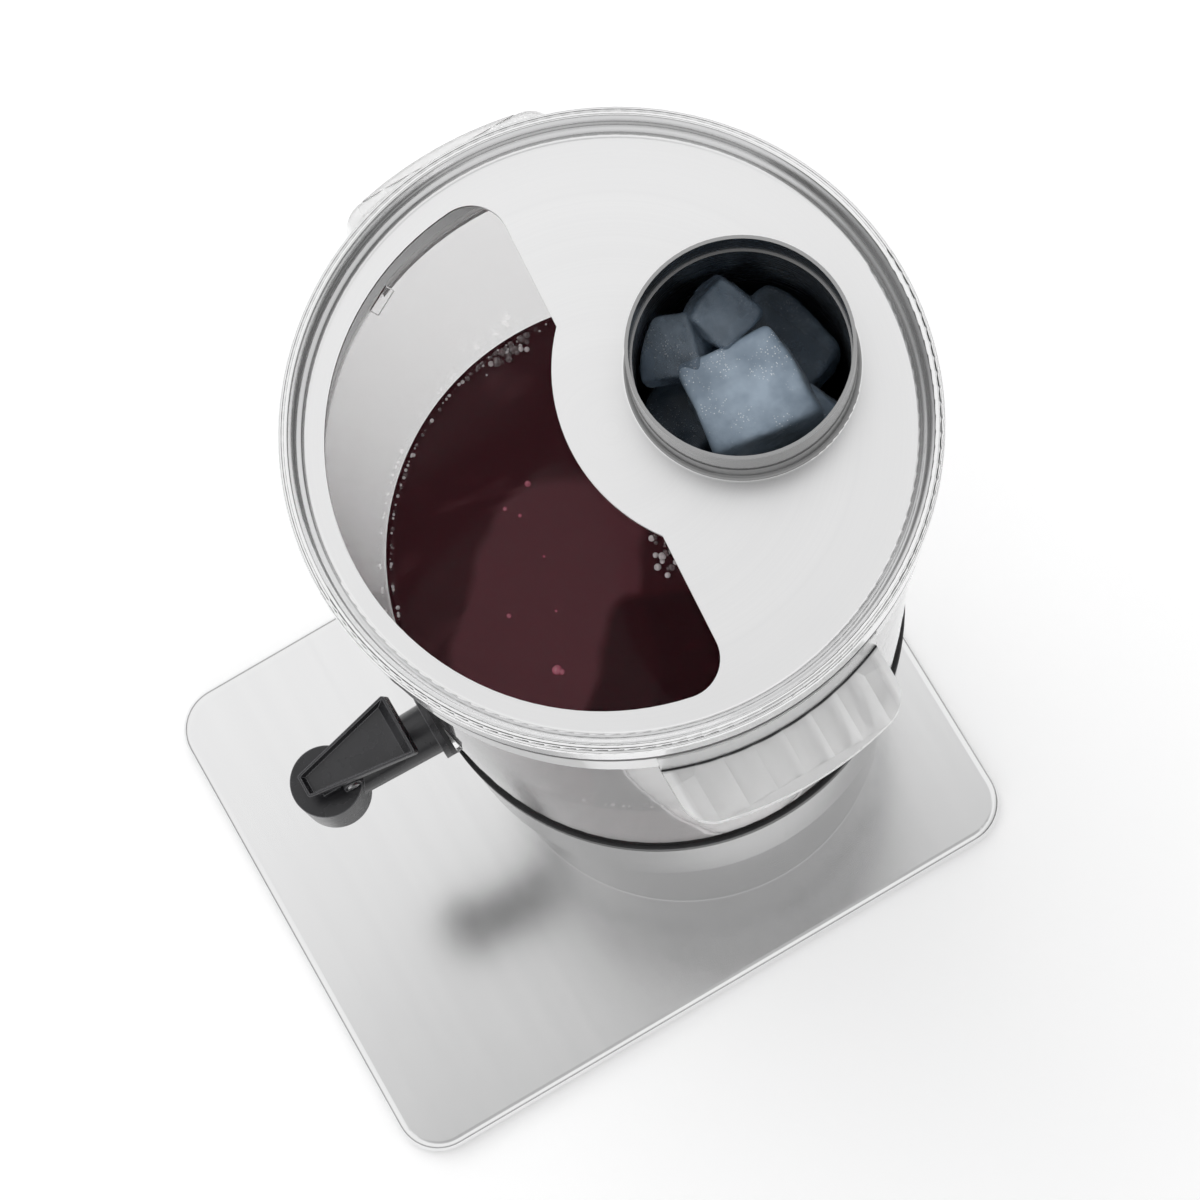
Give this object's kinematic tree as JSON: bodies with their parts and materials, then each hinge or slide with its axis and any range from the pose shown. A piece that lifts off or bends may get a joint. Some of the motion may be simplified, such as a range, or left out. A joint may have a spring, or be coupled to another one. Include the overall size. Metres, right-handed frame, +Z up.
{
  "type": "juice dispenser",
  "caption": "Countertop juice dispenser: clear container with moulded grips and a black lever tap on a steel pedestal, under a steel lid with a clear window and an ice tube.",
  "frame": {"origin": "centre of the base plate's footprint, at the level of the table under the feet", "axes": "+Z up; -Y towards the front, where the tap is; +X towards the right-hand grip, seen from the front"},
  "size_m": [0.236, 0.3, 0.519],
  "materials": {
    "base_steel": "satin, semi-polished",
    "lid_steel": "satin with a polished rim",
    "tube_steel": "satin",
    "fastener_steel": "bright",
    "spring_steel": "drawn wire",
    "foot_rubber": "matt black",
    "gasket_rubber": "matt black",
    "seal_silicone": "translucent white",
    "clear_plastic": "clear, smooth",
    "window_plastic": "clear, smooth",
    "tap_plastic": "black, slightly glossy"
  },
  "bodies": {
    "base": {"base_plate": "base_steel", "rubber_feet": "foot_rubber", "pedestal": "base_steel", "pedestal_screws": "fastener_steel", "pedestal_nuts": "fastener_steel", "seat_cup": "base_steel", "deck_screws": "fastener_steel", "deck_nuts": "fastener_steel", "seat_gasket": "gasket_rubber"},
    "container": {"container": "clear_plastic", "handle_right": "clear_plastic", "handle_left": "clear_plastic", "tap_body": "tap_plastic", "tap_gasket_outer": "seal_silicone", "tap_gasket_inner": "seal_silicone", "tap_nut": "tap_plastic", "tap_bonnet": "tap_plastic", "lever_pin": "fastener_steel"},
    "valve": {"valve_stem": "fastener_steel", "valve_seal": "seal_silicone", "valve_spring": "spring_steel"},
    "lever": {"tap_lever": "tap_plastic"},
    "lid": {"lid": "lid_steel", "lid_seal": "gasket_rubber", "window_seal": "gasket_rubber", "lid_window": "window_plastic", "tube_seal": "gasket_rubber"},
    "ice_tube": {"ice_tube": "tube_steel"}
  },
  "joints": [
    {"name": "container_lift", "type": "slide", "parent": "base", "child": "container", "axis": [0, 0, 1], "range_m": [0, 0.08]},
    {"name": "lid_lift", "type": "slide", "parent": "container", "child": "lid", "axis": [0, 0, 1], "range_m": [0, 0.24]},
    {"name": "ice_tube_lift", "type": "slide", "parent": "lid", "child": "ice_tube", "axis": [0, 0, 1], "range_m": [0, 0.25]},
    {"name": "lever_press", "type": "hinge", "parent": "container", "child": "lever", "pos_m": [0, -0.08149, 0.2648], "axis": [-1, 0, 0], "range_deg": [0, 20]},
    {"name": "valve_lift", "type": "slide", "parent": "container", "child": "valve", "axis": [0, 0, 1], "range_m": [0, 0.0038], "stiffness_N_per_m": 20, "springref_m": -0.004, "deforming": ["valve_spring"]}
  ],
  "couplings": [
    {"joint": "lever_press", "follows": "valve_lift", "rad_per_m": 90.9}
  ]
}
